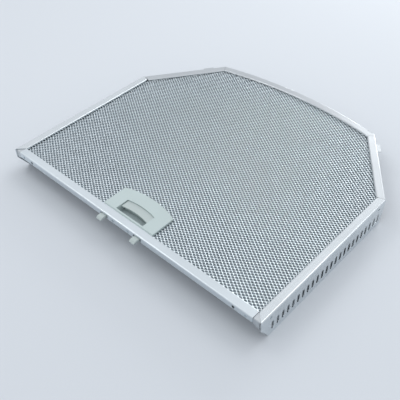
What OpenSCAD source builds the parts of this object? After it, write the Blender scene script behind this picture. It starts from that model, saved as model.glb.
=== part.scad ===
// Metal grease filter for a cooker hood: a mesh pack in a folded aluminium frame, with slotted
// side plates and a spring latch. Front edge along X, depth along Y, visible face up.
// Lengths are in millimetres. Inside the modules y = 0 is the outer face of the front rail.

/* [Outline] */
// Width across the side plates, which is also the length of the front edge
front_width = 380; // [360:1:420]
// Length of each straight side, from the front edge to where the chamfer starts
side_length = 214; // [200:1:230]
// Depth at the two rear corners
corner_depth = 307.5; // [295:0.5:320]
// Width between the two rear corners
rear_width = 240.5; // [220:0.5:260]
// Rise of the rear edge's arc above the line between its corners
rear_rise = 13.5; // [8:0.5:18]

/* [Sheet metal] */
// Thickness of every folded sheet
sheet = 0.8; // [0.6:0.1:1]
// Outer radius of the folds
fold_radius = 1.4; // [1.2:0.1:1.8]
// Width of the lips round the visible face
lip_width = 10; // [8:0.5:12]
// Width of the front rail's upper lip
front_lip_width = 10.5; // [9:0.5:12]
// Width of the lips under the mesh pack
foot_width = 9; // [7:0.5:11]
// Height of the front rail
rim_height = 8.4; // [8.2:0.1:9]
// Clearance between sheets that lie on each other
lap_gap = 0.1; // [0.05:0.05:0.2]
// Open seam between mitred lips
seam = 0.3; // [0.1:0.1:0.6]

/* [Side plates] */
// Height of the side plates, from the visible face to the edge that the filter stands on
skirt_height = 32; // [28:0.5:40]
// Number of slots in each side plate
slot_count = 24; // [10:1:24]
// Distance between slot centres
slot_pitch = 8; // [6:0.1:8.1]
// Width of a slot
slot_width = 3.5; // [2.5:0.1:4.5]
// Length of a slot from end to end
slot_length = 11.4; // [8:0.1:12]
// Distance from the front edge to the first slot's centre
first_slot = 18.2; // [17.5:0.1:19]
// Distance from the visible face down to a slot's upper end
slot_drop = 13.7; // [12:0.1:14.5]
// Height of the plate's upright front edge
nose_height = 12; // [10:0.5:13]
// How far the front edge slants back below that
nose_slant = 13; // [8:0.5:15]
// How far the rear edge slants forward on its way down
tail_slant = 4.5; // [0:0.5:6]

/* [Front corners] */
// Distance from the side of the filter to the end of the front rail
rail_end_inset = 10.2; // [10.1:0.1:12]
// Distance from the side to the far end of the corner flap's ear
ear_inset = 24; // [22:0.5:28]
// Clearance between the corner flap and the sheets beside it
flap_gap = 0.2; // [0.1:0.05:0.4]
// How far the flap's lower edge starts below the front rail
flap_drop = 0.4; // [0:0.1:1]

/* [Pressed points] */
// Radius of the punch that presses a point through two sheets
point_radius = 1.5; // [1.2:0.1:1.8]
// How deep the punch goes, measured from the outer face
point_depth = 1.2; // [1:0.05:1.3]
// Thickness of the sheet once it is drawn round the punch
point_wall = 0.35; // [0.25:0.05:0.4]
// Distance from the visible face to the points in the side plates
side_point_drop = 5.4; // [5:0.1:5.8]
// Distance from the front edge to the front point in a side plate
front_point_y = 14.7; // [12:0.1:18]
// Distance from the rear end of a side plate to its rear point
rear_point_inset = 13; // [10:0.5:20]
// Distance from the side of the filter to the points that hold the corner flaps
corner_point_inset = 18; // [16:0.5:20]
// Distance of the two middle points from the centre line
latch_point_x = 11.7; // [9:0.1:15]

/* [Front rail openings] */
// Radius of the two round drain holes
drain_radius = 1.7; // [1.2:0.1:2]
// Distance from the side of the filter to a drain hole
drain_inset = 33.3; // [30:0.1:40]
// Width of a latch window
window_width = 11.4; // [10:0.1:13]

/* [Locating tongues] */
// Width of the tongue on each chamfer
tongue_width = 14; // [10:0.5:18]
// How far a tongue stands out of the wall
tongue_reach = 4; // [3:0.1:4.2]
// Distance along the chamfer from the rear corner to the middle of the tongue
tongue_from_corner = 24; // [20:0.5:40]

/* [Mesh pack] */
// Distance from the visible face down to the mesh
mesh_drop = 2.6; // [2.3:0.1:2.8]
// Thickness of the expanded mesh on the face and on the back
mesh_thickness = 1.2; // [1:0.1:1.3]
// Height of the strands above the web of the expanded mesh
ridge_height = 0.7; // [0.4:0.1:0.8]
// Clearance between one layer of the pack and the next
layer_gap = 0.02; // [0.01:0.01:0.05]
// Clearance between the frame's inner face and the edge of the pack
pack_gap = 1; // [0.9:0.1:2]
// Width of the plain band round the edge of the expanded mesh
mesh_rim = 4; // [3:0.5:8]
// Long diagonal of a cell of the expanded mesh, along the front
cell_long = 5.98; // [5.6:0.01:7]
// Short diagonal of a cell
cell_short = 3.86; // [3.6:0.01:4.5]
// Width of a strand
ridge_width = 1.4; // [1:0.1:1.8]
// Width of the web that is left on each side of a gap between two strands
web_border = 0.15; // [0.1:0.05:0.3]
// Length of the web that is left at each end of a gap
web_end = 1; // [0.5:0.1:3]
// Length of the shortest gap
shortest_gap = 45; // [40:1:60]

/* [Handle plate] */
// Width of the handle plate
plate_width = 75.2; // [72:0.1:80]
// Depth from the front edge to the crown of the plate's rear arc
plate_crown = 49; // [48:0.1:52]
// Radius of the plate's rear arc, and of the arcs that run parallel to it
plate_radius = 110.4; // [105:0.1:125]
// Thickness of the plate
plate_thickness = 1.2; // [1:0.1:1.3]
// How far the plate's face lies below the top of the lips
plate_drop = 0.4; // [0.2:0.1:0.6]
// Depth from the front edge to the step where the plate dips under the lip
step_y = 11.4; // [11.2:0.1:12]
// Height of that step
step_height = 0.5; // [0.5:0.1:0.7]
// Width of the finger recess
recess_width = 41.8; // [38:0.1:42]
// Depth from the front edge to the near edge of the finger recess
recess_front = 13.4; // [13:0.1:15]
// Depth from the front edge to the crown of the recess's rear arc
recess_crown = 33; // [32:0.1:33.5]
// Thickness of the housing's moulded walls
wall = 1.2; // [1:0.1:1.3]
// How far the plate overhangs the housing's walls
flange = 2.6; // [2.2:0.1:3]
// Clearance between the housing and the sheets and mesh round it
housing_gap = 0.4; // [0.3:0.1:0.8]
// Clearance between moulded pieces that lie on each other
mould_gap = 0.05; // [0.02:0.01:0.1]

/* [Latch cover] */
// Thickness of the cover
cover_thickness = 1.2; // [1:0.1:1.5]
// Radius of the bosses that the cover is fixed to
boss_radius = 1.6; // [1.4:0.1:1.8]
// Radius of the pegs that go through the cover
peg_radius = 0.9; // [0.7:0.1:1]
// Clearance round a peg
peg_gap = 0.1; // [0.05:0.05:0.2]
// Depth from the front edge to the two front bosses
front_boss_y = 16; // [14:0.5:20]
// Depth from the front edge to the two rear bosses
rear_boss_y = 36; // [30:0.5:37]

/* [Latch slider] */
// Distance of each latch tab from the centre line
tab_x = 26; // [25.9:0.1:26.4]
// Width of a latch tab
tab_width = 7.4; // [7:0.1:7.4]
// Thickness of a latch tab
tab_thickness = 3; // [2.6:0.1:3.2]
// Distance from the visible face down to a tab's upper side
tab_drop = 2.8; // [2.7:0.1:3]
// How far the tabs stand out of the front rail
tab_reach = 8; // [7:0.1:9]
// Length of the bevel at a tab's tip
tab_bevel = 2.4; // [1:0.1:3]
// Height of that bevel
bevel_height = 1.7; // [0.8:0.1:2]
// Clearance above and below a tab in its window
window_gap = 0.6; // [0.4:0.1:0.7]
// Distance that the slider travels
travel = 7.2; // [6:0.1:7.2]
// Room left behind the slider when it is pulled right back
rear_play = 1.3; // [1:0.1:1.5]
// Thickness of the grip bar
bar_thickness = 1.8; // [1.5:0.1:2]
// Depth from the front edge to the crown of the bar's front arc
bar_front = 22.8; // [22:0.1:23.2]
// Clearance between the bar's ends and the sides of the finger recess
bar_gap = 0.9; // [0.5:0.1:1.5]
// Thickness of the web under the bar, which the fingertips pull
web_thickness = 1.4; // [1.2:0.1:2]
// How far the web lies behind the bar's front
web_setback = 1.2; // [0.8:0.1:2]
// How far the web stops short of the bar's ends
web_inset = 3; // [2:0.1:5]
// Clearance between the cross bar and the side walls of the finger recess
crossbar_gap = 0.9; // [0.6:0.1:1]
// Thickness of the slider's arms
arm_thickness = 3.8; // [3.8:0.1:4]
// Depth from the front edge to the front end of the arms
arm_front = 2; // [1.8:0.1:3]
// Clearance between the slider and the housing
slide_gap = 0.2; // [0.15:0.05:0.25]

/* [Latch springs] */
// Diameter of the spring wire
wire = 0.45; // [0.4:0.05:0.5]
// Outer diameter of a spring
spring_diameter = 3.4; // [3:0.1:3.5]
// Number of coils
coils = 9; // [6:1:10]
// Clearance beside a spring in its slot
spring_gap = 0.3; // [0.2:0.05:0.35]
// Clearance at each end of a spring
spring_seat = 0.1; // [0.05:0.05:0.2]
// Depth from the front edge to the front end of a spring's slot
slot_front = 13; // [12:0.1:14]
// Length of the arm behind that slot
arm_end_wall = 2.5; // [2:0.1:3]
// Depth of the posts that the springs push against
post_depth = 2; // [1.6:0.1:2.4]

/* [Hidden] */
$fn = 48;

// Cutting tools reach past what they cut by this much, and sweeps run past their ends by the overrun
cut = 1;
overrun = 40;

// Number of fine filter layers, each with a node of its own
layer_count = 7;

// Outline corners on the right-hand side
half_width = front_width / 2;
chamfer_start = [half_width, side_length];
rear_corner = [rear_width / 2, corner_depth];
chamfer_dir = (rear_corner - chamfer_start) / norm(rear_corner - chamfer_start);
chamfer_inward = [-chamfer_dir[1], chamfer_dir[0]];
arc_radius = (rear_corner[0] ^ 2 + rear_rise ^ 2) / (2 * rear_rise);
arc_centre_y = corner_depth + rear_rise - arc_radius;
arc_half_angle = asin(rear_corner[0] / arc_radius);
arc_start_dir = [-cos(arc_half_angle), sin(arc_half_angle)];
overall_depth = corner_depth + rear_rise;
side_dir = [0, 1];

// Heights
top_z = skirt_height;
rail_top = top_z - sheet - lap_gap;
rim_bottom = top_z - rim_height;
pack_bottom = rim_bottom + sheet;
pack_top = top_z - mesh_drop;
rail_height = rail_top - rim_bottom;
inner_fold = fold_radius - sheet;
lap = sheet + lap_gap;
frame_x = half_width - lap;

// Where the frame rail's side meets the chamfer, and the rounding of its wall there
frame_bend = chamfer_start + chamfer_dir * (lap / -chamfer_dir[0]);
bend_rounding = 0.48 * sheet;
frame_front = [frame_x, lap];

// Mesh pack
pack_side = frame_x - sheet - pack_gap;
pack_front = 2 * sheet + lap_gap + pack_gap;
pack_inset = sheet + pack_gap;
layer_space = pack_top - pack_bottom - 2 * mesh_thickness;
layer_pitch = layer_space / layer_count;
layer_thickness = layer_pitch - layer_gap;

// Strands of the expanded mesh: straight ridges along one side of its cells, with valleys between
web_height = mesh_thickness - ridge_height;
ridge_dir = unit([cell_long, -cell_short]);
ridge_across = [-ridge_dir[1], ridge_dir[0]];
ridge_pitch = [cell_long, cell_short] * ridge_across / 2;
valley_width = ridge_pitch - ridge_width;
gap_width = valley_width - 2 * web_border;
gap_rim = mesh_rim + web_end;
first_valley = ceil(valley_number([mesh_rim - pack_side, pack_front + mesh_rim]) + 0.5);
last_valley = floor(valley_number(pack_corner(mesh_rim)) - 0.5);
// Length that a valley gains between the chamfer and the rear arc for its distance from their corner
corner_spread = run_for_rise(arc_start_dir) - run_for_rise(chamfer_dir);
last_gap = floor(valley_number(pack_corner(gap_rim)) - shortest_gap / corner_spread / ridge_pitch);

// Handle plate and housing
latch_arc_y = plate_crown - plate_radius;
plate_top = top_z - plate_drop;
plate_bottom = plate_top - plate_thickness;
cover_top = pack_bottom - slide_gap;
cover_bottom = cover_top - cover_thickness;
cover_front = foot_width + housing_gap;
flange_top = plate_top - step_height;
flange_bottom = flange_top - plate_thickness;
flange_front = fold_radius + lap_gap;
rib_x = tab_x - window_width / 2 - 1;
housing_x = plate_width / 2 - flange;
housing_radius = plate_radius - flange;
housing_bottom = cover_top + mould_gap;
notch_x = housing_x + housing_gap;
notch_radius = housing_radius + housing_gap;
recess_x = recess_width / 2;
recess_radius = recess_crown - latch_arc_y;
recess_side_end = latch_arc_y + sqrt(recess_radius ^ 2 - recess_x ^ 2);
boss_x = housing_x - wall / 2 - boss_radius;
bosses = [for (side = [-1, 1], y = [front_boss_y, rear_boss_y]) [side * boss_x, y, 0]];

// Latch slider
bar_top = plate_bottom - slide_gap;
bar_radius = bar_front - latch_arc_y;
bar_x = recess_x - bar_gap;
web_x = bar_x - web_inset;
web_radius = bar_radius + web_setback;
web_bottom = cover_top + slide_gap;
tab_z = top_z - tab_drop - tab_thickness / 2;
arm_z = tab_z - arm_thickness / 2;
slider_radius = housing_radius - wall - travel - rear_play;
crossbar_front = recess_side_end + crossbar_gap;
crossbar_x = tab_x + tab_width / 2;
arm_end_y = latch_arc_y + sqrt(slider_radius ^ 2 - crossbar_x ^ 2);
slot_x = spring_diameter / 2 + spring_gap;
slot_end = arm_end_y - arm_end_wall;
post_x = slot_x - spring_gap;
post_rear = slot_end - slide_gap;
post_front = post_rear - post_depth;
window_height = tab_thickness + 2 * window_gap;

// Springs
spring_front = slot_front + spring_seat;
spring_length = post_front - spring_seat - spring_front;
spring_steps = 12;
spring_sides = 6;

// The part's origin is the middle of its footprint, latch tabs included
footprint_middle = (overall_depth - tab_reach) / 2;

metal = "gainsboro";
mesh_metal = "silver";
plastic = "lightgray";
spring_steel = "dimgray";

function left_of(v) = [-v[1], v[0]];
// The same point on the other side of the filter
function across(p) = [-p[0], p[1]];
function unit(v) = v / norm(v);
// Direction of the mitre that halves a corner, pointing into the filter
function mitre(before, after) = unit(left_of(before) + left_of(after));
bend_mitre = mitre(side_dir, chamfer_dir);
corner_mitre = mitre(chamfer_dir, arc_start_dir);

// Places the part's origin
module placed() {
    translate([0, -footprint_middle, 0]) children();
}

// Quarter of a bent sheet, from the X side to the Y side of its centre
module quarter_fold(radius) {
    intersection() {
        difference() {
            circle(radius);
            circle(radius - sheet);
        }
        square(radius);
    }
}

// U section of a rail: x is the distance in from the wall's outer face, y the height.
// Where drop is more than the sheet, the upper lip's inner edge turns down by that much.
module rail_section(height, lip, drop) {
    translate([0, fold_radius]) square([sheet, height - 2 * fold_radius]);
    translate([fold_radius, fold_radius]) rotate(180) quarter_fold(fold_radius);
    translate([fold_radius, 0]) square([foot_width - fold_radius, sheet]);
    lip_section(height, lip, drop);
}

// Upper lip with its outer fold and, where there is one, the turned-down inner edge
module lip_section(height, lip, drop) {
    turned = drop > fold_radius;
    turn = turned ? fold_radius : 0;
    translate([fold_radius, height - fold_radius]) rotate(90) quarter_fold(fold_radius);
    translate([fold_radius, height - sheet]) square([lip - fold_radius - turn, sheet]);
    if (turned) {
        translate([lip - turn, height - turn]) quarter_fold(turn);
        translate([lip - sheet, height - drop]) square([sheet, drop - turn]);
    }
}

// Sweeps a rail section from one point to another, mitres both ends along the given directions
// and trims the far end by what the seam there takes
module rail_run(from, to, from_mitre, to_mitre, trim = 0) {
    way = unit(to - from);
    stop = to - way * trim;
    intersection() {
        translate([from[0] - way[0] * overrun, from[1] - way[1] * overrun, 0])
            rotate([90, 0, 90 + atan2(way[1], way[0])])
                linear_extrude(norm(to - from) + 2 * overrun) children();
        translate([0, 0, -cut])
            linear_extrude(top_z + 2 * cut)
                polygon([
                    from - from_mitre * overrun, stop - to_mitre * overrun,
                    stop + to_mitre * overrun, from + from_mitre * overrun
                ]);
    }
}

// Pressed point: the button that a punch leaves behind a sheet, and the hollow in front of it.
// The outer sheet's face is at x = 0, and layer is 0 for the outer sheet and 1 for the one behind it.
module point_button(layer) {
    grown = layer * (point_wall + lap_gap) + point_wall;
    start = layer * lap + sheet / 2;
    translate([start, 0, 0]) rotate([0, 90, 0])
        cylinder(r = point_radius + grown, h = point_depth + grown - start);
}

module point_hollow(layer) {
    grown = layer * (point_wall + lap_gap);
    translate([-cut, 0, 0]) rotate([0, 90, 0])
        cylinder(r = point_radius + grown, h = point_depth + grown + cut);
}

// Puts pressed points into a sheet whose outer face looks along the direction given by turn
module press_points(places, turn, layer) {
    difference() {
        union() {
            children();
            for (place = places) translate(place) rotate(turn) point_button(layer);
        }
        for (place = places) translate(place) rotate(turn) point_hollow(layer);
    }
}

side_points = [
    [half_width, front_point_y, top_z - side_point_drop],
    [half_width, side_length - rear_point_inset, top_z - side_point_drop]
];
point_z = rim_bottom + rim_height / 2;
corner_points = [
    [half_width - corner_point_inset, 0, point_z],
    [corner_point_inset - half_width, 0, point_z]
];
latch_points = [[latch_point_x, 0, point_z], [-latch_point_x, 0, point_z]];

module front_rail() {
    end_x = half_width - rail_end_inset;
    color(metal)
    difference() {
        press_points(concat(corner_points, latch_points), 90, 0)
            translate([-end_x, 0, rim_bottom]) rotate([90, 0, 90])
                linear_extrude(2 * end_x) rail_section(rim_height, front_lip_width, mesh_drop);
        for (side = [-1, 1]) {
            translate([side * tab_x - window_width / 2, -cut, tab_z - window_height / 2])
                cube([window_width, sheet + 2 * cut, window_height]);
            translate([side * (half_width - drain_inset), sheet + cut, point_z])
                rotate([90, 0, 0]) cylinder(r = drain_radius, h = sheet + 2 * cut);
        }
        // The turned-down edge is cut away over the handle plate
        translate([-plate_width / 2 - housing_gap, front_lip_width - fold_radius - cut, pack_top - cut])
            cube([plate_width + 2 * housing_gap, fold_radius + 2 * cut, top_z - sheet - pack_top + cut]);
    }
}

// Frame rail along the right side and chamfer, with its corner flap and locating tongue
module frame_rail() {
    color(metal) {
        difference() {
            union() {
                press_points(side_points, 180, 1) side_run();
                chamfer_run();
                press_points([corner_points[0]], 90, 1) corner_flap();
                tongue();
            }
            translate(frame_bend) rotate(atan2(bend_mitre[1], bend_mitre[0]))
                translate([-cut, -seam / 2, rim_bottom - cut])
                    cube([2 * lip_width, seam, rail_height + 2 * cut]);
            tongue_window();
        }
        wall_bend();
    }
}

// Rounded bend that joins the two stretches of wall between the notches in the lips
module wall_bend() {
    middle = frame_bend - bend_mitre * (sheet / 2 / bend_mitre[0]);
    translate([middle[0], middle[1], rim_bottom + fold_radius])
        cylinder(r = bend_rounding, h = rail_height - 2 * fold_radius);
}

// Stretch behind the side plate: its upper lip lies under the side plate's lip
module side_run() {
    lap_lip = lip_width - lap - fold_radius;
    difference() {
        rail_run(frame_front, frame_bend, [-1, 0], bend_mitre)
            translate([0, rim_bottom]) rail_section(rail_height, lap_lip, 0);
        // The lip stops where the corner flap's fold starts
        translate([frame_x - lip_width, lap - cut, rail_top - fold_radius])
            cube([lip_width - fold_radius, fold_radius + cut, fold_radius + cut]);
    }
}

module chamfer_run() {
    rail_run(frame_bend, rear_corner, bend_mitre, corner_mitre, seam / 2)
        translate([0, rim_bottom]) rail_section(rail_height, lip_width, rail_top - pack_top);
}

// Flap folded down at the front corner, with an ear that runs behind the front rail
module corner_flap() {
    inner_x = half_width - rail_end_inset + flap_gap;
    outer_x = frame_x - fold_radius - flap_gap;
    ear_x = half_width - ear_inset;
    ear_bottom = pack_bottom + inner_fold;
    fold_z = rail_top - fold_radius;
    translate([0, lap + sheet, 0]) rotate([90, 0, 0]) linear_extrude(sheet)
        polygon([
            [ear_x, ear_bottom], [inner_x, ear_bottom], [inner_x, rim_bottom - flap_drop],
            [outer_x, top_z - nose_height], [outer_x, fold_z], [ear_x, fold_z]
        ]);
    translate([inner_x, lap + fold_radius, fold_z])
        rotate([90, 0, 90]) linear_extrude(outer_x - inner_x) rotate(90) quarter_fold(fold_radius);
    // Top of the flap, up to the side plate's turned-down edge
    translate([inner_x, lap + fold_radius, rail_top - sheet])
        cube([outer_x - inner_x, lip_width - fold_radius - 2 * lap, sheet]);
}

// Where the chamfer's wall runs: local x along the chamfer from the rear corner, y into the filter
module on_chamfer() {
    translate([rear_corner[0], rear_corner[1], 0])
        rotate(atan2(-chamfer_dir[1], -chamfer_dir[0])) mirror([0, 1, 0]) children();
}

tongue_z = rim_bottom + rail_height / 2 + tongue_reach / 2;

module tongue() {
    on_chamfer()
        translate([tongue_from_corner - tongue_width / 2, -tongue_reach, tongue_z - sheet])
            cube([tongue_width, tongue_reach + sheet / 2, sheet]);
}

module tongue_window() {
    on_chamfer()
        translate([tongue_from_corner - tongue_width / 2, -cut, tongue_z - sheet - tongue_reach])
            cube([tongue_width, sheet + 2 * cut, tongue_reach]);
}

module left_frame_rail() {
    mirror([1, 0, 0]) frame_rail();
}

module right_frame_rail() {
    frame_rail();
}

module rear_rail() {
    // The arc is swept a little too far and then mitred
    sweep_half_angle = arc_half_angle + 3;
    start = rear_corner + arc_start_dir * seam / 2;
    color(metal)
    intersection() {
        translate([0, arc_centre_y, rim_bottom]) rotate(90 - sweep_half_angle)
            rotate_extrude(angle = 2 * sweep_half_angle, $fn = 360)
                translate([arc_radius, 0]) mirror([1, 0])
                    rail_section(rail_height, lip_width, rail_top - pack_top);
        translate([0, 0, rim_bottom - cut]) linear_extrude(rim_height + 2 * cut)
            polygon([
                start - corner_mitre * overrun, start + corner_mitre * overrun,
                across(start + corner_mitre * overrun), across(start - corner_mitre * overrun)
            ]);
    }
}

// Side plate on the right: a lip over the frame rail and a deep slotted wall
module side_plate() {
    color(metal)
    press_points(side_points, 180, 0)
        difference() {
            rail_run([half_width, 0], chamfer_start, unit([-1, 1]), bend_mitre, seam)
                side_plate_section();
            translate([half_width - sheet - cut, 0, 0]) rotate([90, 0, 90])
                linear_extrude(sheet + 2 * cut) {
                    polygon([
                        [-cut, -cut], [nose_slant, -cut], [nose_slant, 0],
                        [0, top_z - nose_height], [-cut, top_z - nose_height]
                    ]);
                    polygon([
                        [side_length - tail_slant, -cut], [side_length + cut, -cut],
                        [side_length + cut, top_z - fold_radius], [side_length, top_z - fold_radius],
                        [side_length - tail_slant, 0]
                    ]);
                    for (i = [0 : slot_count - 1]) translate([first_slot + i * slot_pitch, 0]) side_slot();
                }
        }
}

module side_plate_section() {
    square([sheet, top_z - fold_radius]);
    lip_section(top_z, lip_width, mesh_drop);
}

module side_slot() {
    end_radius = slot_width / 2;
    straight = slot_length - slot_width;
    translate([-end_radius, top_z - slot_drop - end_radius - straight]) square([slot_width, straight]);
    for (z = [0, straight]) translate([0, top_z - slot_drop - end_radius - z]) circle(end_radius);
}

module left_side_plate() {
    mirror([1, 0, 0]) side_plate();
}

module right_side_plate() {
    side_plate();
}

// Rear right corner of the mesh pack, drawn in by a margin, where the chamfer's line meets the rear arc
function pack_corner(margin) =
    let (
        inset = pack_inset + margin,
        start = chamfer_start + chamfer_inward * inset,
        from_centre = start - [0, arc_centre_y],
        along = from_centre * chamfer_dir,
        radius = arc_radius - inset
    )
    start + chamfer_dir * (-along + sqrt(along ^ 2 - from_centre * from_centre + radius ^ 2));

// Plan of the mesh pack, drawn in by an extra margin, with the notch for the latch housing
module pack_plan(margin = 0) {
    side_x = pack_side - margin;
    front = pack_front + margin;
    corner = pack_corner(margin);
    bend = corner + chamfer_dir * ((corner[0] - side_x) / -chamfer_dir[0]);
    difference() {
        union() {
            polygon([
                [-side_x, front], [side_x, front], bend, corner, across(corner), across(bend)
            ]);
            intersection() {
                translate([0, arc_centre_y]) circle(arc_radius - pack_inset - margin, $fn = 360);
                translate([-corner[0], corner[1] - cut]) square([2 * corner[0], 2 * rear_rise]);
            }
        }
        latch_plan(notch_x + margin, notch_radius + margin, 0);
    }
}

// Plan shape with parallel sides and the latch's parallel rear arc
module latch_plan(half, radius, front) {
    intersection() {
        translate([-half, front]) square([2 * half, plate_crown + cut]);
        translate([0, latch_arc_y]) circle(radius, $fn = 180);
    }
}

// How far along the strands a line runs for its way across them
function run_for_rise(dir) = (dir * ridge_dir) / (dir * ridge_across);

// Number of the valley that a point lies in; valley 0 begins at the middle of the pack's front edge
function valley_number(point) = (point - [0, pack_front]) * ridge_across / ridge_pitch - 1 / 2;

// How far in from the pack's front edge a valley's middle line lies, at a place along the front
function valley_depth(valley, x) = ((valley + 1 / 2) * ridge_pitch - x * ridge_across[0]) / ridge_across[1];

// Length of a valley from a place along the front to its end at a band along the front edge
function run_length(valley, x, band) = (valley_depth(valley, x) - band) / -ridge_dir[1];

// Straight strip along a valley, from side to side, or only to the right side of the latch's notch
module valley_strip(valley, width, whole = true) {
    reach = front_width + overall_depth;
    translate([notch_x, pack_front + valley_depth(valley, notch_x)])
        rotate(atan2(ridge_dir[1], ridge_dir[0]))
            translate([-reach, -width / 2]) square([reach + (whole ? reach : 0), width]);
}

// Valleys between the strands, clipped by the plain band
module valleys() {
    intersection() {
        pack_plan(mesh_rim);
        for (valley = [first_valley : last_valley])
            valley_strip(
                valley, valley_width,
                run_length(valley, notch_x + mesh_rim, mesh_rim) > ridge_pitch
            );
    }
}

// Gaps right through the web along the valleys, apart from short ones in corners of the pack
module gaps() {
    intersection() {
        pack_plan(gap_rim);
        for (valley = [first_valley : last_gap])
            if (run_length(valley, gap_rim - pack_side, gap_rim) > shortest_gap)
                valley_strip(
                    valley, gap_width,
                    run_length(valley, notch_x + gap_rim, gap_rim) > shortest_gap
                );
    }
}

// Expanded mesh: a web with long gaps, and the strands as ridges on its outer side
module expanded_mesh() {
    linear_extrude(web_height) difference() {
        pack_plan();
        gaps();
    }
    translate([0, 0, web_height]) linear_extrude(ridge_height) difference() {
        pack_plan();
        valleys();
    }
}

module face_mesh() {
    color(mesh_metal) translate([0, 0, pack_top - mesh_thickness]) expanded_mesh();
}

module back_mesh() {
    color(mesh_metal) translate([0, 0, pack_bottom + mesh_thickness]) mirror([0, 0, 1]) expanded_mesh();
}

module filter_layer(index) {
    color(mesh_metal)
        translate([0, 0, pack_bottom + mesh_thickness + index * layer_pitch + layer_gap / 2])
            linear_extrude(layer_thickness) pack_plan();
}

// Plate that shows on the face, with the finger recess and the walls of the latch housing
module handle_plate() {
    color(plastic) {
        difference() {
            union() {
                translate([0, 0, plate_bottom]) linear_extrude(plate_thickness)
                    latch_plan(plate_width / 2, plate_radius, step_y);
                plate_rim();
                front_flange();
                housing_walls();
            }
            translate([0, 0, plate_bottom - cut]) linear_extrude(plate_thickness + 2 * cut)
                latch_plan(recess_x, recess_radius, recess_front);
        }
        for (place = bosses) translate(place) boss();
    }
}

// Rim that turns down onto the mesh all round the plate
module plate_rim() {
    rim_foot = pack_top + mould_gap;
    translate([0, 0, rim_foot]) linear_extrude(plate_bottom + plate_thickness / 2 - rim_foot)
        difference() {
            latch_plan(plate_width / 2, plate_radius, step_y);
            latch_plan(plate_width / 2 - wall, plate_radius - wall, step_y - cut);
        }
}

// Flange under the front rail's lip, and the rib that its two middle pressed points hold
module front_flange() {
    rib_bottom = pack_bottom + inner_fold;
    translate([-plate_width / 2, flange_front, flange_bottom])
        cube([plate_width, step_y + wall - flange_front, plate_thickness]);
    difference() {
        translate([-rib_x, lap, rib_bottom])
            cube([2 * rib_x, wall, flange_bottom + plate_thickness / 2 - rib_bottom]);
        for (place = latch_points) translate(place) rotate(90) point_hollow(1);
    }
}

// Housing walls: two sides and rear, then the front and sides of the finger recess
module housing_walls() {
    translate([0, 0, housing_bottom]) linear_extrude(plate_bottom + plate_thickness / 2 - housing_bottom) {
        difference() {
            latch_plan(housing_x, housing_radius, step_y);
            latch_plan(housing_x - wall, housing_radius - wall, step_y - cut);
        }
        difference() {
            translate([-recess_x - wall, recess_front - wall])
                square([recess_width + 2 * wall, recess_side_end - recess_front + wall]);
            translate([-recess_x, recess_front]) square([recess_width, plate_crown]);
        }
    }
}

// Boss beside the housing's wall, with the peg that goes through the cover
module boss() {
    translate([0, 0, housing_bottom])
        cylinder(r = boss_radius, h = plate_bottom + plate_thickness / 2 - housing_bottom);
    translate([0, 0, cover_bottom])
        cylinder(r = peg_radius, h = housing_bottom + boss_radius - cover_bottom);
}

// Back of the housing, with the two posts that the springs push against
module latch_cover() {
    post_bottom = cover_top - cover_thickness / 2;
    color(plastic) {
        difference() {
            translate([0, 0, cover_bottom]) linear_extrude(cover_thickness)
                latch_plan(plate_width / 2, plate_radius, cover_front);
            for (place = bosses) translate([place[0], place[1], cover_bottom - cut])
                cylinder(r = peg_radius + peg_gap, h = cover_thickness + 2 * cut);
        }
        for (side = [-1, 1]) translate([side * tab_x - post_x, post_front, post_bottom])
            cube([2 * post_x, post_depth, arm_z + arm_thickness - post_bottom]);
    }
}

// Grip bar, finger web, cross bar, arms and tabs, in one moulding
module latch_slider() {
    color(plastic) {
        // Grip bar, reaching back under the plate
        translate([0, 0, bar_top - bar_thickness]) linear_extrude(bar_thickness)
            arc_band(bar_x, bar_radius, slider_radius);
        // Web that the fingertips pull
        translate([0, 0, web_bottom]) linear_extrude(bar_top - bar_thickness / 2 - web_bottom)
            arc_band(web_x, web_radius, web_radius + web_thickness);
        // Cross bar, thicker in the middle where it carries the grip bar
        translate([0, 0, arm_z]) linear_extrude(bar_top - arm_z)
            latch_plan(bar_x, slider_radius, crossbar_front);
        translate([0, 0, arm_z]) linear_extrude(arm_thickness)
            latch_plan(crossbar_x, slider_radius, crossbar_front);
        for (side = [-1, 1]) translate([side * tab_x, 0, 0]) {
            latch_arm();
            latch_tab();
        }
    }
}

// Band between two of the latch's parallel arcs
module arc_band(half, inner, outer) {
    difference() {
        latch_plan(half, outer, 0);
        translate([0, latch_arc_y]) circle(inner, $fn = 180);
    }
}

module latch_arm() {
    translate([0, 0, arm_z]) linear_extrude(arm_thickness) difference() {
        translate([-tab_width / 2, arm_front]) square([tab_width, arm_end_y - arm_front]);
        translate([-slot_x, slot_front]) square([2 * slot_x, slot_end - slot_front]);
    }
}

module latch_tab() {
    low = tab_z - tab_thickness / 2;
    high = tab_z + tab_thickness / 2;
    translate([-tab_width / 2, 0, 0]) rotate([90, 0, 90]) linear_extrude(tab_width)
        polygon([
            [-tab_reach, low], [arm_front + cut, low], [arm_front + cut, high],
            [tab_bevel - tab_reach, high], [-tab_reach, high - bevel_height]
        ]);
}

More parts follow.
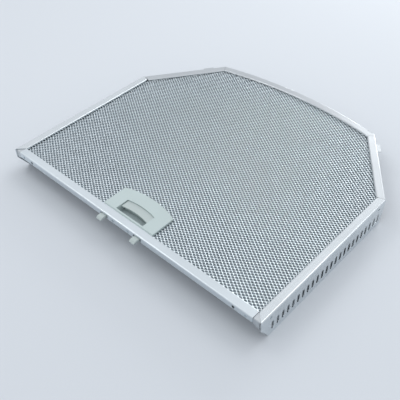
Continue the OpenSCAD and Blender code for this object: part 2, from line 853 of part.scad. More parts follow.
// Coil spring along Y between the front of an arm's slot and the cover's post
module coil_spring(x) {
    mean = (spring_diameter - wire) / 2;
    rings = coils * spring_steps;
    rise = (spring_length - wire) / rings;
    pitch_angle = atan(rise * spring_steps / (2 * PI * mean));
    points = [
        for (i = [0 : rings], j = [0 : spring_sides - 1])
            let (turn = 360 * i / spring_steps, around = 360 * j / spring_sides,
                 out = mean + wire / 2 * cos(around), lift = wire / 2 * sin(around))
            [
                out * cos(turn) - lift * sin(pitch_angle) * -sin(turn),
                wire / 2 + i * rise + lift * cos(pitch_angle),
                out * sin(turn) - lift * sin(pitch_angle) * cos(turn)
            ]
    ];
    sides = [
        for (i = [0 : rings - 1], j = [0 : spring_sides - 1])
            let (next = (j + 1) % spring_sides, a = i * spring_sides, b = a + spring_sides)
            each [[a + j, b + j, b + next], [a + j, b + next, a + next]]
    ];
    caps = [
        [for (j = [0 : spring_sides - 1]) j],
        [for (j = [spring_sides - 1 : -1 : 0]) rings * spring_sides + j]
    ];
    color(spring_steel) translate([x, spring_front, tab_z]) polyhedron(points, concat(sides, caps));
}

module left_latch_spring() {
    coil_spring(-tab_x);
}

module right_latch_spring() {
    coil_spring(tab_x);
}

placed() front_rail();
placed() left_frame_rail();
placed() right_frame_rail();
placed() rear_rail();
placed() left_side_plate();
placed() right_side_plate();
placed() face_mesh();
for (index = [1 : layer_count])
    placed() filter_layer(index - 1);
placed() back_mesh();
placed() handle_plate();
placed() latch_cover();
placed() latch_slider();
placed() left_latch_spring();
placed() right_latch_spring();
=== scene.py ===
import math
from collections import Counter

import bpy
import numpy as np
from bpy.props import FloatProperty, FloatVectorProperty, PointerProperty
from mathutils import Matrix, Vector


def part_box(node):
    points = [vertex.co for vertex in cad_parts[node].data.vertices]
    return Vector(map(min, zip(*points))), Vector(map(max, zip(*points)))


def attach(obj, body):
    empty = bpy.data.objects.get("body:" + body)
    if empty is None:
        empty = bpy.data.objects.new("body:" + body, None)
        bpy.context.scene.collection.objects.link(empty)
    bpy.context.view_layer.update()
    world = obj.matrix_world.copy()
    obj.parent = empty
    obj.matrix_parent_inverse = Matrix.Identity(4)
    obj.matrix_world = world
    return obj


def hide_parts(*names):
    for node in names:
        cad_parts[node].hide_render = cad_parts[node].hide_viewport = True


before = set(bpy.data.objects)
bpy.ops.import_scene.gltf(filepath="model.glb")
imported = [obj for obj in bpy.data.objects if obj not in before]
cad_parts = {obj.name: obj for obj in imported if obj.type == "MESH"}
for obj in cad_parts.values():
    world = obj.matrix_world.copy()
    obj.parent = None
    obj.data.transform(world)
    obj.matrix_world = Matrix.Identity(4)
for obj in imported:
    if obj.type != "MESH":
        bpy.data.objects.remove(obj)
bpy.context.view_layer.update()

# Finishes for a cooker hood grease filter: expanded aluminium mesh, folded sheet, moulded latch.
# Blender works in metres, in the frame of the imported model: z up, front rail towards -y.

bl_info = {
    "name": "Cooker Hood Filter",
    "version": (1, 0, 0),
    "blender": (4, 5, 0),
    "location": "3D View > Sidebar > Hood Filter",
    "description": "Expanded mesh, folded sheet and moulded latch of a cooker hood grease filter",
    "category": "Object",
}

MM = 0.001

FINE_LAYERS = tuple("filter_layer_%d" % i for i in range(1, 8))
TOP_FINE_LAYER = "filter_layer_7"


def linear(hex_colour):
    """Linear red, green and blue of an sRGB hex colour."""
    channels = [int(hex_colour[i:i + 2], 16) / 255 for i in (1, 3, 5)]
    return tuple(c / 12.92 if c <= 0.04045 else ((c + 0.055) / 1.055) ** 2.4 for c in channels)


def opaque(colour):
    """The colour with full opacity, as a colour socket takes it."""
    return (*colour, 1.0)


def add_node(tree, kind, inputs=(), **settings):
    """Adds a node, sets its properties and fills its inputs with values or with other nodes' outputs."""
    node = tree.nodes.new(kind)
    for name, value in settings.items():
        setattr(node, name, value)
    for name, value in dict(inputs).items():
        if isinstance(value, bpy.types.NodeSocket):
            tree.links.new(value, node.inputs[name])
        else:
            node.inputs[name].default_value = value
    return node


def new_material(name):
    """An empty node material and its tree."""
    material = bpy.data.materials.new(name)
    material.use_nodes = True
    material.node_tree.nodes.clear()
    return material, material.node_tree


def set_finish(node_name, material):
    """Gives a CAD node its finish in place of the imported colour."""
    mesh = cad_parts[node_name].data
    mesh.materials.clear()
    mesh.materials.append(material)


def colour_property(name, description, hex_colour):
    return FloatVectorProperty(
        name=name, description=description, default=linear(hex_colour),
        subtype="COLOR", size=3, min=0.0, max=1.0,
    )


def length_property(name, description, millimetres):
    return FloatProperty(
        name=name, description=description, default=millimetres * MM,
        unit="LENGTH", subtype="DISTANCE", min=0.0, precision=5,
    )


class HoodFilterMesh(bpy.types.PropertyGroup):
    """Expanded mesh on the face and the back, and the fine layers between them."""
    cell_long: length_property("Cell Length", "Distance between bonds along the front rail", 5.98)
    cell_short: length_property("Cell Width", "Distance between bonds across the front rail", 3.86)
    strand_width: length_property("Strand Width", "Width of a strand of the expanded mesh", 0.85)
    strand_thickness: length_property("Strand Thickness", "Thickness of the sheet that is expanded", 0.45)
    bond_length: length_property("Bond Length", "Length of the bond where two strands join", 1.3)
    strand_tilt: FloatProperty(
        name="Strand Tilt", description="How far the strands lean towards the rear rail",
        default=math.radians(25), subtype="ANGLE", min=0.0, max=math.radians(60),
    )
    edge_margin: length_property("Edge Margin", "Clearance between the cut strands and the pack's edge", 0.2)
    strand_tone: colour_property("Strand Tone", "Bare aluminium of the expanded mesh", "#EFF8FC")
    wire_tone: colour_property("Wire Tone", "Bare aluminium wire of the fine layers", "#A6B3BC")
    wire_pitch: length_property("Wire Pitch", "Distance between the wires of a fine layer", 1.5)


class HoodFilterSheet(bpy.types.PropertyGroup):
    """Folded aluminium sheet of the rails and the side plates."""
    front_tone: colour_property("Front Rail Tone", "Satin anodised aluminium of the front rail", "#DCE4E8")
    frame_tone: colour_property("Frame Tone", "Satin anodised aluminium of the rails round the rear", "#CBD0D3")
    side_tone: colour_property("Side Plate Tone", "Bright rolled aluminium of the side plates", "#E0E6E9")
    rolling_width: length_property("Rolling Line Width", "Width of the fine lines left by the rolls", 0.7)
    rolling_length: length_property("Rolling Line Length", "Length of those lines", 45)


class HoodFilterLatch(bpy.types.PropertyGroup):
    """Moulded handle plate, cover and slider, and the springs behind the slider."""
    plate_tone: colour_property("Plate Tone", "ABS of the handle plate", "#BCCAC9")
    # The cover is toned darker than the handle plate: painted shade of the finger recess, whose floor it forms
    cover_tone_with_recess_shade: colour_property("Cover Tone", "ABS of the cover, the floor of the finger recess", "#9AA6A7")
    slider_tone: colour_property("Slider Tone", "ABS of the grip bar and the tabs", "#B9C4C2")
    spring_tone: colour_property("Spring Tone", "Drawn spring steel", "#9AA0A6")
    grit: length_property("Spark Grit", "Grain of the spark-eroded mould", 0.5)
    edge_radius: length_property("Edge Radius", "Rounding of the moulded edges", 0.25)


class HoodFilterStage(bpy.types.PropertyGroup):
    """Floor, light and camera."""
    floor_tone: colour_property("Floor Tone", "Matt paper floor", "#D3D8DD")
    sky_tone: colour_property("Sky Tone", "Even studio light from all round", "#F7FAFF")
    sky_high: FloatProperty(
        name="Sky Above", description="Strength of the even light from above", default=0.91, min=0.0,
    )
    sky_low: FloatProperty(
        name="Sky at Horizon", description="Strength of the even light from the sides", default=0.7, min=0.0,
    )
    high_power: FloatProperty(
        name="High Softbox Power", description="Power of each high softbox", default=2.0, unit="POWER", min=0.0,
    )
    low_power: FloatProperty(
        name="Low Softbox Power", description="Power of the low softbox behind", default=5.0, unit="POWER", min=0.0,
    )
    lamp_size: length_property("Softbox Size", "Side of a square softbox", 520)
    lamp_distance: length_property("Softbox Distance", "Distance from the filter to a softbox", 1400)


def pack_outline():
    """Corner points of the mesh pack's outline in order, read from the upper face of a fine layer."""
    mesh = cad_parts[TOP_FINE_LAYER].data
    keys = [tuple(round(c, 6) for c in v.co) for v in mesh.vertices]
    uses = Counter()
    for polygon in mesh.polygons:
        if polygon.normal.z > 0.9:
            ring = [keys[i] for i in polygon.vertices]
            for a, b in zip(ring, ring[1:] + ring[:1]):
                if a != b:
                    uses[frozenset((a, b))] += 1
    rim = [tuple(edge) for edge, count in uses.items() if count % 2]
    beside = {}
    for a, b in rim:
        beside.setdefault(a, []).append(b)
        beside.setdefault(b, []).append(a)
    if any(len(ends) != 2 for ends in beside.values()):
        raise RuntimeError("the outline of %s isn't one closed line" % TOP_FINE_LAYER)
    start = rim[0][0]
    loop, before, here = [start], None, start
    while True:
        step = [p for p in beside[here] if p != before][0]
        if step == start:
            break
        loop.append(step)
        before, here = here, step
    if len(loop) != len(rim):
        raise RuntimeError("the outline of %s isn't one closed line" % TOP_FINE_LAYER)
    return np.array(loop)[:, :2]


def depth_inside(points, outline):
    """Distance of each point from the outline, positive inside it."""
    a, b = outline, np.roll(outline, -1, axis=0)
    along = b - a
    offset = points[:, None] - a[None]
    share = np.clip((offset * along).sum(-1) / (along * along).sum(-1), 0, 1)
    distance = np.linalg.norm(offset - share[..., None] * along, axis=-1).min(axis=1)
    x, y = points[:, :1], points[:, 1:]
    spans = (a[:, 1] > y) != (b[:, 1] > y)
    rise = np.where(along[:, 1] == 0, 1, along[:, 1])
    crossing = spans & (x < a[:, 0] + along[:, 0] * (y - a[:, 1]) / rise)
    return np.where(crossing.sum(axis=1) % 2 == 1, distance, -distance)


def lattice_faces(settings, outline):
    """Vertices and faces of the expanded mesh, with z measured from its middle plane.

    Every bond is a short bar that leans towards the rear rail. Two strands leave its lowered rear
    half and run up to the raised front halves of the next bonds, as slit sheet does when it is
    pulled open.
    """
    half_long, half_short = settings.cell_long / 2, settings.cell_short / 2
    low, high = outline.min(axis=0), outline.max(axis=0)
    rows = int(math.ceil((high[1] - low[1]) / half_short)) + 1
    columns = 2 * int(math.ceil(high[0] / settings.cell_long)) + 2
    column, row = np.meshgrid(np.arange(columns), np.arange(rows))
    x = (column - columns // 2 + (row % 2) / 2) * settings.cell_long
    y = low[1] + row * half_short
    centre = np.stack([x, y], axis=-1)
    depth = depth_inside(centre.reshape(-1, 2), outline).reshape(rows, columns)
    kept = depth > settings.bond_length / 2 + settings.edge_margin
    number = np.where(kept, np.cumsum(kept).reshape(kept.shape) - 1, -1)

    across = np.array([0, math.cos(settings.strand_tilt), -math.sin(settings.strand_tilt)])
    through = np.array([0, math.sin(settings.strand_tilt), math.cos(settings.strand_tilt)])
    half_thickness = settings.strand_thickness / 2 * through
    # Section of a bond: front, middle and rear of its upper side, then of its lower side
    section = np.array([
        side * half_thickness + place * settings.strand_width * across
        for side in (1, -1) for place in (-1, 0, 1)
    ])
    ends = np.array([[-settings.bond_length / 2, 0, 0], [settings.bond_length / 2, 0, 0]])
    bond = (ends[:, None] + section[None]).reshape(12, 3)
    place = np.concatenate([centre[kept], np.zeros((kept.sum(), 1))], axis=1)
    vertices = (place[:, None] + bond[None]).reshape(-1, 3)

    first = 12 * np.arange(kept.sum())[:, None]
    # Bond faces: two on top, then the front and rear edges; 0 to 5 is the left end, 6 to 11 the right
    faces = [first + np.array(quad) for quad in ([0, 6, 7, 1], [1, 7, 8, 2], [3, 9, 6, 0], [2, 8, 11, 5])]

    # Strand ends on a bond: front and rear of the upper side, then of the lower side
    rear_half, front_half = np.array([1, 2, 4, 5]), np.array([0, 1, 3, 4])
    cut_vertices = []
    next_vertex = len(vertices)
    for side in (1, -1):
        here, there = (6, 0) if side == 1 else (0, 6)
        shift = (row % 2) if side == 1 else (row % 2) - 1
        other_column = column + shift
        valid = (row + 1 < rows) & (other_column >= 0) & (other_column < columns)
        up_row = np.clip(row + 1, 0, rows - 1)
        up_column = np.clip(other_column, 0, columns - 1)
        both = valid & kept & kept[up_row, up_column]
        a = 12 * number[both][:, None] + here + rear_half
        b = 12 * number[up_row, up_column][both][:, None] + there + front_half
        runs = [(a, b)]
        # Strands cut off at the pack's edge keep the stretch that is inside it
        for starts_here in (True, False):
            inner, outer = (kept, ~kept[up_row, up_column]) if starts_here else (~kept, kept[up_row, up_column])
            loose = valid & inner & outer
            d_here, d_there = depth[loose], depth[up_row, up_column][loose]
            inside_depth = d_here if starts_here else d_there
            outside_depth = d_there if starts_here else d_here
            share = np.clip((inside_depth - settings.edge_margin)
                            / np.maximum(inside_depth - outside_depth, 1e-9), 0, 0.98)
            ids = number[loose] if starts_here else number[up_row, up_column][loose]
            local = here + rear_half if starts_here else there + front_half
            root = 12 * ids[:, None] + local
            way = np.array([side * (half_long - settings.bond_length), half_short, 0]) - settings.strand_width * across
            if not starts_here:
                way = -way
            usable = share > 0.1
            root, share = root[usable], share[usable]
            tips = vertices[root] + share[:, None, None] * way
            tip_ids = next_vertex + np.arange(4 * len(root)).reshape(-1, 4)
            next_vertex += 4 * len(root)
            cut_vertices.append(tips.reshape(-1, 3))
            runs.append((root, tip_ids) if starts_here else (tip_ids, root))
        for a, b in runs:
            top = np.stack([a[:, 0], b[:, 0], b[:, 1], a[:, 1]], axis=1)
            front = np.stack([a[:, 2], b[:, 2], b[:, 0], a[:, 0]], axis=1)
            rear = np.stack([a[:, 1], b[:, 1], b[:, 3], a[:, 3]], axis=1)
            for quads in (top, front, rear):
                faces.append(quads if side == 1 else quads[:, ::-1])
    vertices = np.concatenate([vertices] + cut_vertices)
    return vertices, np.concatenate(faces)


def build_mesh(name, vertices, faces):
    """A mesh object from arrays of vertices and four-sided faces."""
    mesh = bpy.data.meshes.new(name)
    mesh.vertices.add(len(vertices))
    mesh.vertices.foreach_set("co", vertices.astype(np.float32).ravel())
    mesh.loops.add(4 * len(faces))
    mesh.loops.foreach_set("vertex_index", faces.astype(np.int32).ravel())
    mesh.polygons.add(len(faces))
    mesh.polygons.foreach_set("loop_start", 4 * np.arange(len(faces), dtype=np.int32))
    mesh.update(calc_edges=True)
    if mesh.validate():
        raise RuntimeError("%s has broken faces" % name)
    piece = bpy.data.objects.new(name, mesh)
    bpy.context.scene.collection.objects.link(piece)
    return piece


def expanded_aluminium(settings):
    """Expanded aluminium, slit, stretched and left bare: bright bonds and strands with a slightly
    uneven sheen, so that neighbouring cells glint a little differently."""
    material, tree = new_material("expanded_aluminium")
    place = add_node(tree, "ShaderNodeTexCoord").outputs["Object"]
    # Uneven lots of cells, about 12 mm across, and specks along each strand, about 1.2 mm long
    lots = add_node(tree, "ShaderNodeTexNoise", {"Vector": place, "Scale": 1 / (12 * MM), "Detail": 2.0})
    specks = add_node(tree, "ShaderNodeTexNoise", {"Vector": place, "Scale": 1 / (1.2 * MM), "Detail": 3.0})
    dulled = add_node(tree, "ShaderNodeMapRange", {
        "Value": lots.outputs["Fac"], "From Min": 0.3, "From Max": 0.7, "To Min": 0.94, "To Max": 1.0})
    tone = add_node(tree, "ShaderNodeVectorMath", {
        0: settings.strand_tone, "Scale": dulled.outputs["Result"]}, operation="SCALE")
    roughness = add_node(tree, "ShaderNodeMapRange", {
        "Value": specks.outputs["Fac"], "From Min": 0.3, "From Max": 0.7, "To Min": 0.26, "To Max": 0.42})
    bump = add_node(tree, "ShaderNodeBump", {
        "Height": specks.outputs["Fac"], "Strength": 0.35, "Distance": 0.04 * MM})
    surface = add_node(tree, "ShaderNodeBsdfPrincipled", {
        "Base Color": tone.outputs["Vector"], "Metallic": 1.0,
        "Roughness": roughness.outputs["Result"], "Normal": bump.outputs["Normal"]})
    add_node(tree, "ShaderNodeOutputMaterial", {"Surface": surface.outputs["BSDF"]})
    return material


def knitted_aluminium(settings):
    """Fine aluminium mesh that catches the grease: crossed flattened wires, with the gaps between them
    painted dark as shade of the layers beneath, which the eye sees as a grey glitter behind the expanded mesh."""
    material, tree = new_material("knitted_aluminium")
    place = add_node(tree, "ShaderNodeTexCoord").outputs["Object"]
    # Blender's wave bands repeat every pi / 10 of a unit, which sets the scale for the wire pitch
    scale = math.pi / 10 / settings.wire_pitch
    wires = []
    for angle in (31, -28):
        turned = add_node(tree, "ShaderNodeMapping", {
            "Vector": place, "Rotation": (0, 0, math.radians(angle))})
        wires.append(add_node(tree, "ShaderNodeTexWave", {
            "Vector": turned.outputs["Vector"], "Scale": scale, "Distortion": 2.5,
            "Detail": 2.0, "Detail Scale": 1.5}))
    nearest = add_node(tree, "ShaderNodeMath", {
        0: wires[0].outputs["Fac"], 1: wires[1].outputs["Fac"]}, operation="MAXIMUM")
    # Gaps between the wires are painted down to 0.12 of the wire tone: painted shade of the layers beneath
    shade = add_node(tree, "ShaderNodeMapRange", {
        "Value": nearest.outputs["Value"], "From Min": 0.25, "From Max": 0.95, "To Min": 0.12, "To Max": 1.0})
    tone = add_node(tree, "ShaderNodeVectorMath", {
        0: settings.wire_tone, "Scale": shade.outputs["Result"]}, operation="SCALE")
    bump = add_node(tree, "ShaderNodeBump", {
        "Height": nearest.outputs["Value"], "Strength": 0.9, "Distance": 0.3 * MM})
    surface = add_node(tree, "ShaderNodeBsdfPrincipled", {
        "Base Color": tone.outputs["Vector"], "Metallic": 1.0,
        "Roughness": 0.42, "Normal": bump.outputs["Normal"]})
    add_node(tree, "ShaderNodeOutputMaterial", {"Surface": surface.outputs["BSDF"]})
    return material


def rolled_aluminium(name, tone_value, settings, grain_degrees, smooth, dull):
    """Aluminium sheet, rolled, with a satin anodised or a bright mill face: an even pale sheen
    crossed by faint lines along the rolling direction, and a slow unevenness of flat thin sheet."""
    material, tree = new_material(name)
    place = add_node(tree, "ShaderNodeTexCoord").outputs["Object"]
    turned = add_node(tree, "ShaderNodeMapping", {
        "Vector": place, "Rotation": (0, 0, math.radians(-grain_degrees))})
    # Real rolling lines are near 0.1 mm wide; they are drawn wider here, or the render loses them
    drawn = add_node(tree, "ShaderNodeVectorMath", {
        0: turned.outputs["Vector"],
        1: (1 / settings.rolling_length, 1 / settings.rolling_width, 1 / settings.rolling_width)},
        operation="MULTIPLY")
    lines = add_node(tree, "ShaderNodeTexNoise", {
        "Vector": drawn.outputs["Vector"], "Scale": 1.0, "Detail": 3.0, "Roughness": 0.6})
    # Handling marks and uneven anodising, about 35 mm across
    patches = add_node(tree, "ShaderNodeTexNoise", {"Vector": place, "Scale": 1 / (35 * MM), "Detail": 3.0})
    fade = add_node(tree, "ShaderNodeMapRange", {
        "Value": patches.outputs["Fac"], "From Min": 0.3, "From Max": 0.7, "To Min": 0.95, "To Max": 1.0})
    streak = add_node(tree, "ShaderNodeMapRange", {
        "Value": lines.outputs["Fac"], "From Min": 0.3, "From Max": 0.7, "To Min": 0.965, "To Max": 1.0})
    both = add_node(tree, "ShaderNodeMath", {
        0: fade.outputs["Result"], 1: streak.outputs["Result"]}, operation="MULTIPLY")
    tone = add_node(tree, "ShaderNodeVectorMath", {
        0: tone_value, "Scale": both.outputs["Value"]}, operation="SCALE")
    roughness = add_node(tree, "ShaderNodeMapRange", {
        "Value": lines.outputs["Fac"], "From Min": 0.25, "From Max": 0.75, "To Min": smooth, "To Max": dull})
    bump = add_node(tree, "ShaderNodeBump", {
        "Height": lines.outputs["Fac"], "Strength": 0.12, "Distance": 0.03 * MM})
    surface = add_node(tree, "ShaderNodeBsdfPrincipled", {
        "Base Color": tone.outputs["Vector"], "Metallic": 1.0,
        "Roughness": roughness.outputs["Result"], "Normal": bump.outputs["Normal"]})
    add_node(tree, "ShaderNodeOutputMaterial", {"Surface": surface.outputs["BSDF"]})
    return material


def moulded_abs(name, tone_value, settings, roughness_low, roughness_high):
    """ABS, injection moulded in a spark-eroded tool: an even grey with a fine matt grain that
    softens the highlights."""
    material, tree = new_material(name)
    place = add_node(tree, "ShaderNodeTexCoord").outputs["Object"]
    # The real grit is near 0.15 mm; it is drawn coarser here, or the render loses it
    grain = add_node(tree, "ShaderNodeTexNoise", {
        "Vector": place, "Scale": 1 / settings.grit, "Detail": 2.0, "Roughness": 0.6})
    # Slow shade from the flow of the melt, about 25 mm across
    flow = add_node(tree, "ShaderNodeTexNoise", {"Vector": place, "Scale": 1 / (25 * MM), "Detail": 1.0})
    fade = add_node(tree, "ShaderNodeMapRange", {
        "Value": flow.outputs["Fac"], "From Min": 0.3, "From Max": 0.7, "To Min": 0.965, "To Max": 1.0})
    tone = add_node(tree, "ShaderNodeVectorMath", {
        0: tone_value, "Scale": fade.outputs["Result"]}, operation="SCALE")
    roughness = add_node(tree, "ShaderNodeMapRange", {
        "Value": grain.outputs["Fac"], "From Min": 0.3, "From Max": 0.7,
        "To Min": roughness_low, "To Max": roughness_high})
    bump = add_node(tree, "ShaderNodeBump", {
        "Height": grain.outputs["Fac"], "Strength": 0.35, "Distance": 0.05 * MM})
    surface = add_node(tree, "ShaderNodeBsdfPrincipled", {
        "Base Color": tone.outputs["Vector"], "Metallic": 0.0, "IOR": 1.53,
        "Roughness": roughness.outputs["Result"], "Normal": bump.outputs["Normal"]})
    add_node(tree, "ShaderNodeOutputMaterial", {"Surface": surface.outputs["BSDF"]})
    return material


def drawn_spring_steel(settings):
    """Spring steel wire, cold drawn: a darker grey metal with streaks left by the die."""
    material, tree = new_material("drawn_spring_steel")
    place = add_node(tree, "ShaderNodeTexCoord").outputs["Object"]
    # Die streaks, drawn 0.2 mm wide so that they show on a 0.45 mm wire
    streaks = add_node(tree, "ShaderNodeTexNoise", {"Vector": place, "Scale": 1 / (0.2 * MM), "Detail": 2.0})
    shade = add_node(tree, "ShaderNodeMapRange", {
        "Value": streaks.outputs["Fac"], "From Min": 0.3, "From Max": 0.7, "To Min": 0.8, "To Max": 1.0})
    tone = add_node(tree, "ShaderNodeVectorMath", {
        0: settings.spring_tone, "Scale": shade.outputs["Result"]}, operation="SCALE")
    roughness = add_node(tree, "ShaderNodeMapRange", {
        "Value": streaks.outputs["Fac"], "From Min": 0.3, "From Max": 0.7, "To Min": 0.22, "To Max": 0.38})
    surface = add_node(tree, "ShaderNodeBsdfPrincipled", {
        "Base Color": tone.outputs["Vector"], "Metallic": 1.0, "Roughness": roughness.outputs["Result"]})
    add_node(tree, "ShaderNodeOutputMaterial", {"Surface": surface.outputs["BSDF"]})
    return material


def matt_paper(tone_value):
    """Matt studio paper, uncoated: a plain pale ground that only shows the filter's soft shadow."""
    material, tree = new_material("matt_paper")
    place = add_node(tree, "ShaderNodeTexCoord").outputs["Object"]
    # Paper fibres, drawn 1.5 mm long
    fibres = add_node(tree, "ShaderNodeTexNoise", {"Vector": place, "Scale": 1 / (1.5 * MM), "Detail": 2.0})
    fade = add_node(tree, "ShaderNodeMapRange", {
        "Value": fibres.outputs["Fac"], "From Min": 0.3, "From Max": 0.7, "To Min": 0.985, "To Max": 1.0})
    tone = add_node(tree, "ShaderNodeVectorMath", {
        0: tone_value, "Scale": fade.outputs["Result"]}, operation="SCALE")
    surface = add_node(tree, "ShaderNodeBsdfPrincipled", {
        "Base Color": tone.outputs["Vector"], "Roughness": 0.85})
    add_node(tree, "ShaderNodeOutputMaterial", {"Surface": surface.outputs["BSDF"]})
    return material


class HOODFILTER_OT_expanded_mesh(bpy.types.Operator):
    """Build the expanded aluminium mesh on the face and on the back"""
    bl_idname = "hood_filter.expanded_mesh"
    bl_label = "Expanded Mesh"

    def execute(self, context):
        settings = context.scene.hood_filter_mesh
        vertices, faces = lattice_faces(settings, pack_outline())
        material = expanded_aluminium(settings)
        for name, node, facing in (("face_lattice", "face_mesh", 1), ("back_lattice", "back_mesh", -1)):
            low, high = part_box(node)
            reach = np.abs(vertices[:, 2]).max()
            if 2 * reach > high.z - low.z:
                raise RuntimeError("the strands are thicker than %s" % node)
            placed = vertices * (1, 1, facing) + (0, 0, (low.z + high.z) / 2)
            piece = build_mesh(name, placed, faces if facing == 1 else faces[:, ::-1])
            piece.data.materials.append(material)
            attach(piece, "filter")
            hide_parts(node)
        return {"FINISHED"}


class HOODFILTER_OT_fine_layers(bpy.types.Operator):
    """Give the fine layers between the expanded meshes their knitted wire"""
    bl_idname = "hood_filter.fine_layers"
    bl_label = "Fine Layers"

    def execute(self, context):
        material = knitted_aluminium(context.scene.hood_filter_mesh)
        for node in FINE_LAYERS:
            set_finish(node, material)
        return {"FINISHED"}


class HOODFILTER_OT_folded_sheet(bpy.types.Operator):
    """Give the rails and the side plates their rolled aluminium"""
    bl_idname = "hood_filter.folded_sheet"
    bl_label = "Folded Sheet"

    def execute(self, context):
        settings = context.scene.hood_filter_sheet
        for node, tone in (("front_rail", settings.front_tone), ("rear_rail", settings.frame_tone)):
            set_finish(node, rolled_aluminium(
                "satin_anodised_" + node, tone, settings, 0, smooth=0.28, dull=0.36))
        # The chamfers run inwards at the angle that their rails' boxes and the rear rail's end give
        low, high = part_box("right_side_plate")
        rear_low, rear_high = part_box("rear_rail")
        bend = Vector((high.x, high.y))
        corner = Vector((rear_high.x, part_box("right_frame_rail")[1].y))
        chamfer = math.degrees(math.atan2(corner.y - bend.y, corner.x - bend.x))
        for side, node in ((1, "right_frame_rail"), (-1, "left_frame_rail")):
            grain = chamfer if side == 1 else 180 - chamfer
            set_finish(node, rolled_aluminium(
                "satin_anodised_" + node, settings.frame_tone, settings, grain, smooth=0.28, dull=0.36))
        bright = rolled_aluminium(
            "bright_rolled_side_plate", settings.side_tone, settings, 90, smooth=0.2, dull=0.28)
        for node in ("left_side_plate", "right_side_plate"):
            set_finish(node, bright)
        return {"FINISHED"}


class HOODFILTER_OT_moulded_latch(bpy.types.Operator):
    """Give the handle plate, the cover and the slider their moulded plastic and rounded edges"""
    bl_idname = "hood_filter.moulded_latch"
    bl_label = "Moulded Latch"

    def execute(self, context):
        settings = context.scene.hood_filter_latch
        for node, tone, roughness in (
                ("handle_plate", settings.plate_tone, (0.42, 0.56)),
                # The cover's darker tone is painted shade of the finger recess
                ("latch_cover", settings.cover_tone_with_recess_shade, (0.42, 0.56)),
                ("latch_slider", settings.slider_tone, (0.34, 0.46))):
            set_finish(node, moulded_abs("moulded_abs_" + node, tone, settings, *roughness))
            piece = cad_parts[node]
            weld = piece.modifiers.new("Join Faces", "WELD")
            weld.merge_threshold = 0.002 * MM
            edge = piece.modifiers.new("Rounded Edges", "BEVEL")
            edge.width = settings.edge_radius
            edge.segments = 2
            edge.limit_method = "ANGLE"
            edge.angle_limit = math.radians(40)
            edge.use_clamp_overlap = True
        return {"FINISHED"}


class HOODFILTER_OT_latch_springs(bpy.types.Operator):
    """Give the two springs behind the slider their drawn steel"""
    bl_idname = "hood_filter.latch_springs"
    bl_label = "Latch Springs"

    def execute(self, context):
        material = drawn_spring_steel(context.scene.hood_filter_latch)
        for node in ("left_latch_spring", "right_latch_spring"):
            set_finish(node, material)
        return {"FINISHED"}


# Camera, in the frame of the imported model: the point it looks at, its angles and its distance
CAMERA_TARGET = Vector((39.34, -74.62, 32.0)) * MM
CAMERA_AZIMUTH = math.radians(44.312)
CAMERA_ELEVATION = math.radians(43.567)
CAMERA_ROLL = math.radians(-2.124)
CAMERA_DISTANCE = 662.4 * MM
CAMERA_LENS = 54.8

# Softboxes high behind and on the left, which the rounded folds mirror, and one low behind, which
# the strands of the mesh mirror: name, setting of its power, azimuth and elevation in degrees
SOFTBOXES = (
    ("rear_softbox", "high_power", 163, 58),
    ("left_softbox", "high_power", 283, 58),
    ("low_softbox", "low_power", 187, 18),
)
# Height of the unit direction above which the sky is fully bright
SKY_FULL_HEIGHT = 0.55


def look_along(back, up=Vector((0, 0, 1)), roll=0.0):
    """Rotation of a camera or lamp whose back looks along the given direction."""
    right = up.cross(back).normalized()
    above = back.cross(right)
    turned_right = math.cos(roll) * right + math.sin(roll) * above
    turned_up = -math.sin(roll) * right + math.cos(roll) * above
    return Matrix((turned_right, turned_up, back)).transposed()


def direction(azimuth, elevation):
    """Unit vector towards a place seen from the filter: azimuth 0 is in front, 90 on its right."""
    return Vector((
        math.sin(azimuth) * math.cos(elevation), -math.cos(azimuth) * math.cos(elevation), math.sin(elevation)))


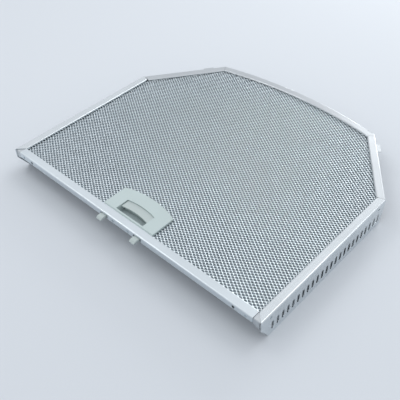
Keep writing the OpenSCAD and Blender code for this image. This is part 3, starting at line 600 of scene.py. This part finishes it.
class HOODFILTER_OT_stage(bpy.types.Operator):
    """Set up the floor, the light and the camera"""
    bl_idname = "hood_filter.stage"
    bl_label = "Stage"

    def execute(self, context):
        settings = context.scene.hood_filter_stage
        reach, drop = 4.0, 0.02 * MM
        corners = np.array([[-reach, -reach, -drop], [reach, -reach, -drop], [reach, reach, -drop], [-reach, reach, -drop]])
        floor = build_mesh("floor", corners, np.array([[0, 1, 2, 3]]))
        floor.data.materials.append(matt_paper(settings.floor_tone))

        world = bpy.data.worlds.new("studio")
        world.use_nodes = True
        tree = world.node_tree
        tree.nodes.clear()
        # The light falls off towards the horizon, so that folds and recesses keep their shade
        towards = add_node(tree, "ShaderNodeTexCoord").outputs["Generated"]
        height = add_node(tree, "ShaderNodeSeparateXYZ", {"Vector": towards}).outputs["Z"]
        strength = add_node(tree, "ShaderNodeMapRange", {
            "Value": height, "From Min": 0.0, "From Max": SKY_FULL_HEIGHT,
            "To Min": settings.sky_low, "To Max": settings.sky_high}, interpolation_type="SMOOTHSTEP")
        sky = add_node(tree, "ShaderNodeBackground", {
            "Color": opaque(settings.sky_tone), "Strength": strength.outputs["Result"]})
        add_node(tree, "ShaderNodeOutputWorld", {"Surface": sky.outputs["Background"]})
        context.scene.world = world

        for name, power, azimuth, elevation in SOFTBOXES:
            lamp = bpy.data.lights.new(name, "AREA")
            lamp.shape = "SQUARE"
            lamp.size = settings.lamp_size
            lamp.energy = getattr(settings, power)
            softbox = bpy.data.objects.new(name, lamp)
            away = direction(math.radians(azimuth), math.radians(elevation))
            softbox.location = away * settings.lamp_distance
            softbox.rotation_mode = "QUATERNION"
            softbox.rotation_quaternion = look_along(away).to_quaternion()
            context.scene.collection.objects.link(softbox)

        view = bpy.data.cameras.new("camera")
        view.lens = CAMERA_LENS
        view.sensor_width = 36
        view.clip_start = 0.01
        camera = bpy.data.objects.new("camera", view)
        back = direction(CAMERA_AZIMUTH, CAMERA_ELEVATION)
        camera.location = CAMERA_TARGET + back * CAMERA_DISTANCE
        camera.rotation_mode = "QUATERNION"
        camera.rotation_quaternion = look_along(back, roll=CAMERA_ROLL).to_quaternion()
        context.scene.collection.objects.link(camera)
        context.scene.camera = camera
        context.scene.view_settings.view_transform = "Standard"
        return {"FINISHED"}


OPERATORS = (
    HOODFILTER_OT_expanded_mesh,
    HOODFILTER_OT_fine_layers,
    HOODFILTER_OT_folded_sheet,
    HOODFILTER_OT_moulded_latch,
    HOODFILTER_OT_latch_springs,
    HOODFILTER_OT_stage,
)

SETTINGS = (
    ("hood_filter_mesh", HoodFilterMesh),
    ("hood_filter_sheet", HoodFilterSheet),
    ("hood_filter_latch", HoodFilterLatch),
    ("hood_filter_stage", HoodFilterStage),
)


class HOODFILTER_PT_sidebar(bpy.types.Panel):
    """Sizes, colours and steps of the cooker hood filter"""
    bl_idname = "HOODFILTER_PT_sidebar"
    bl_label = "Cooker Hood Filter"
    bl_space_type = "VIEW_3D"
    bl_region_type = "UI"
    bl_category = "Hood Filter"

    def draw(self, context):
        for operator in OPERATORS:
            self.layout.operator(operator.bl_idname)
        for attribute, group in SETTINGS:
            box = self.layout.box()
            for name in group.__annotations__:
                box.prop(getattr(context.scene, attribute), name)


def register():
    for attribute, group in SETTINGS:
        bpy.utils.register_class(group)
        setattr(bpy.types.Scene, attribute, PointerProperty(type=group))
    for operator in OPERATORS:
        bpy.utils.register_class(operator)
    bpy.utils.register_class(HOODFILTER_PT_sidebar)


def unregister():
    bpy.utils.unregister_class(HOODFILTER_PT_sidebar)
    for operator in reversed(OPERATORS):
        bpy.utils.unregister_class(operator)
    for attribute, group in reversed(SETTINGS):
        delattr(bpy.types.Scene, attribute)
        bpy.utils.unregister_class(group)


def main():
    register()
    for operator in OPERATORS:
        module, name = operator.bl_idname.split(".")
        getattr(getattr(bpy.ops, module), name)()


if __name__ == "__main__":
    main()
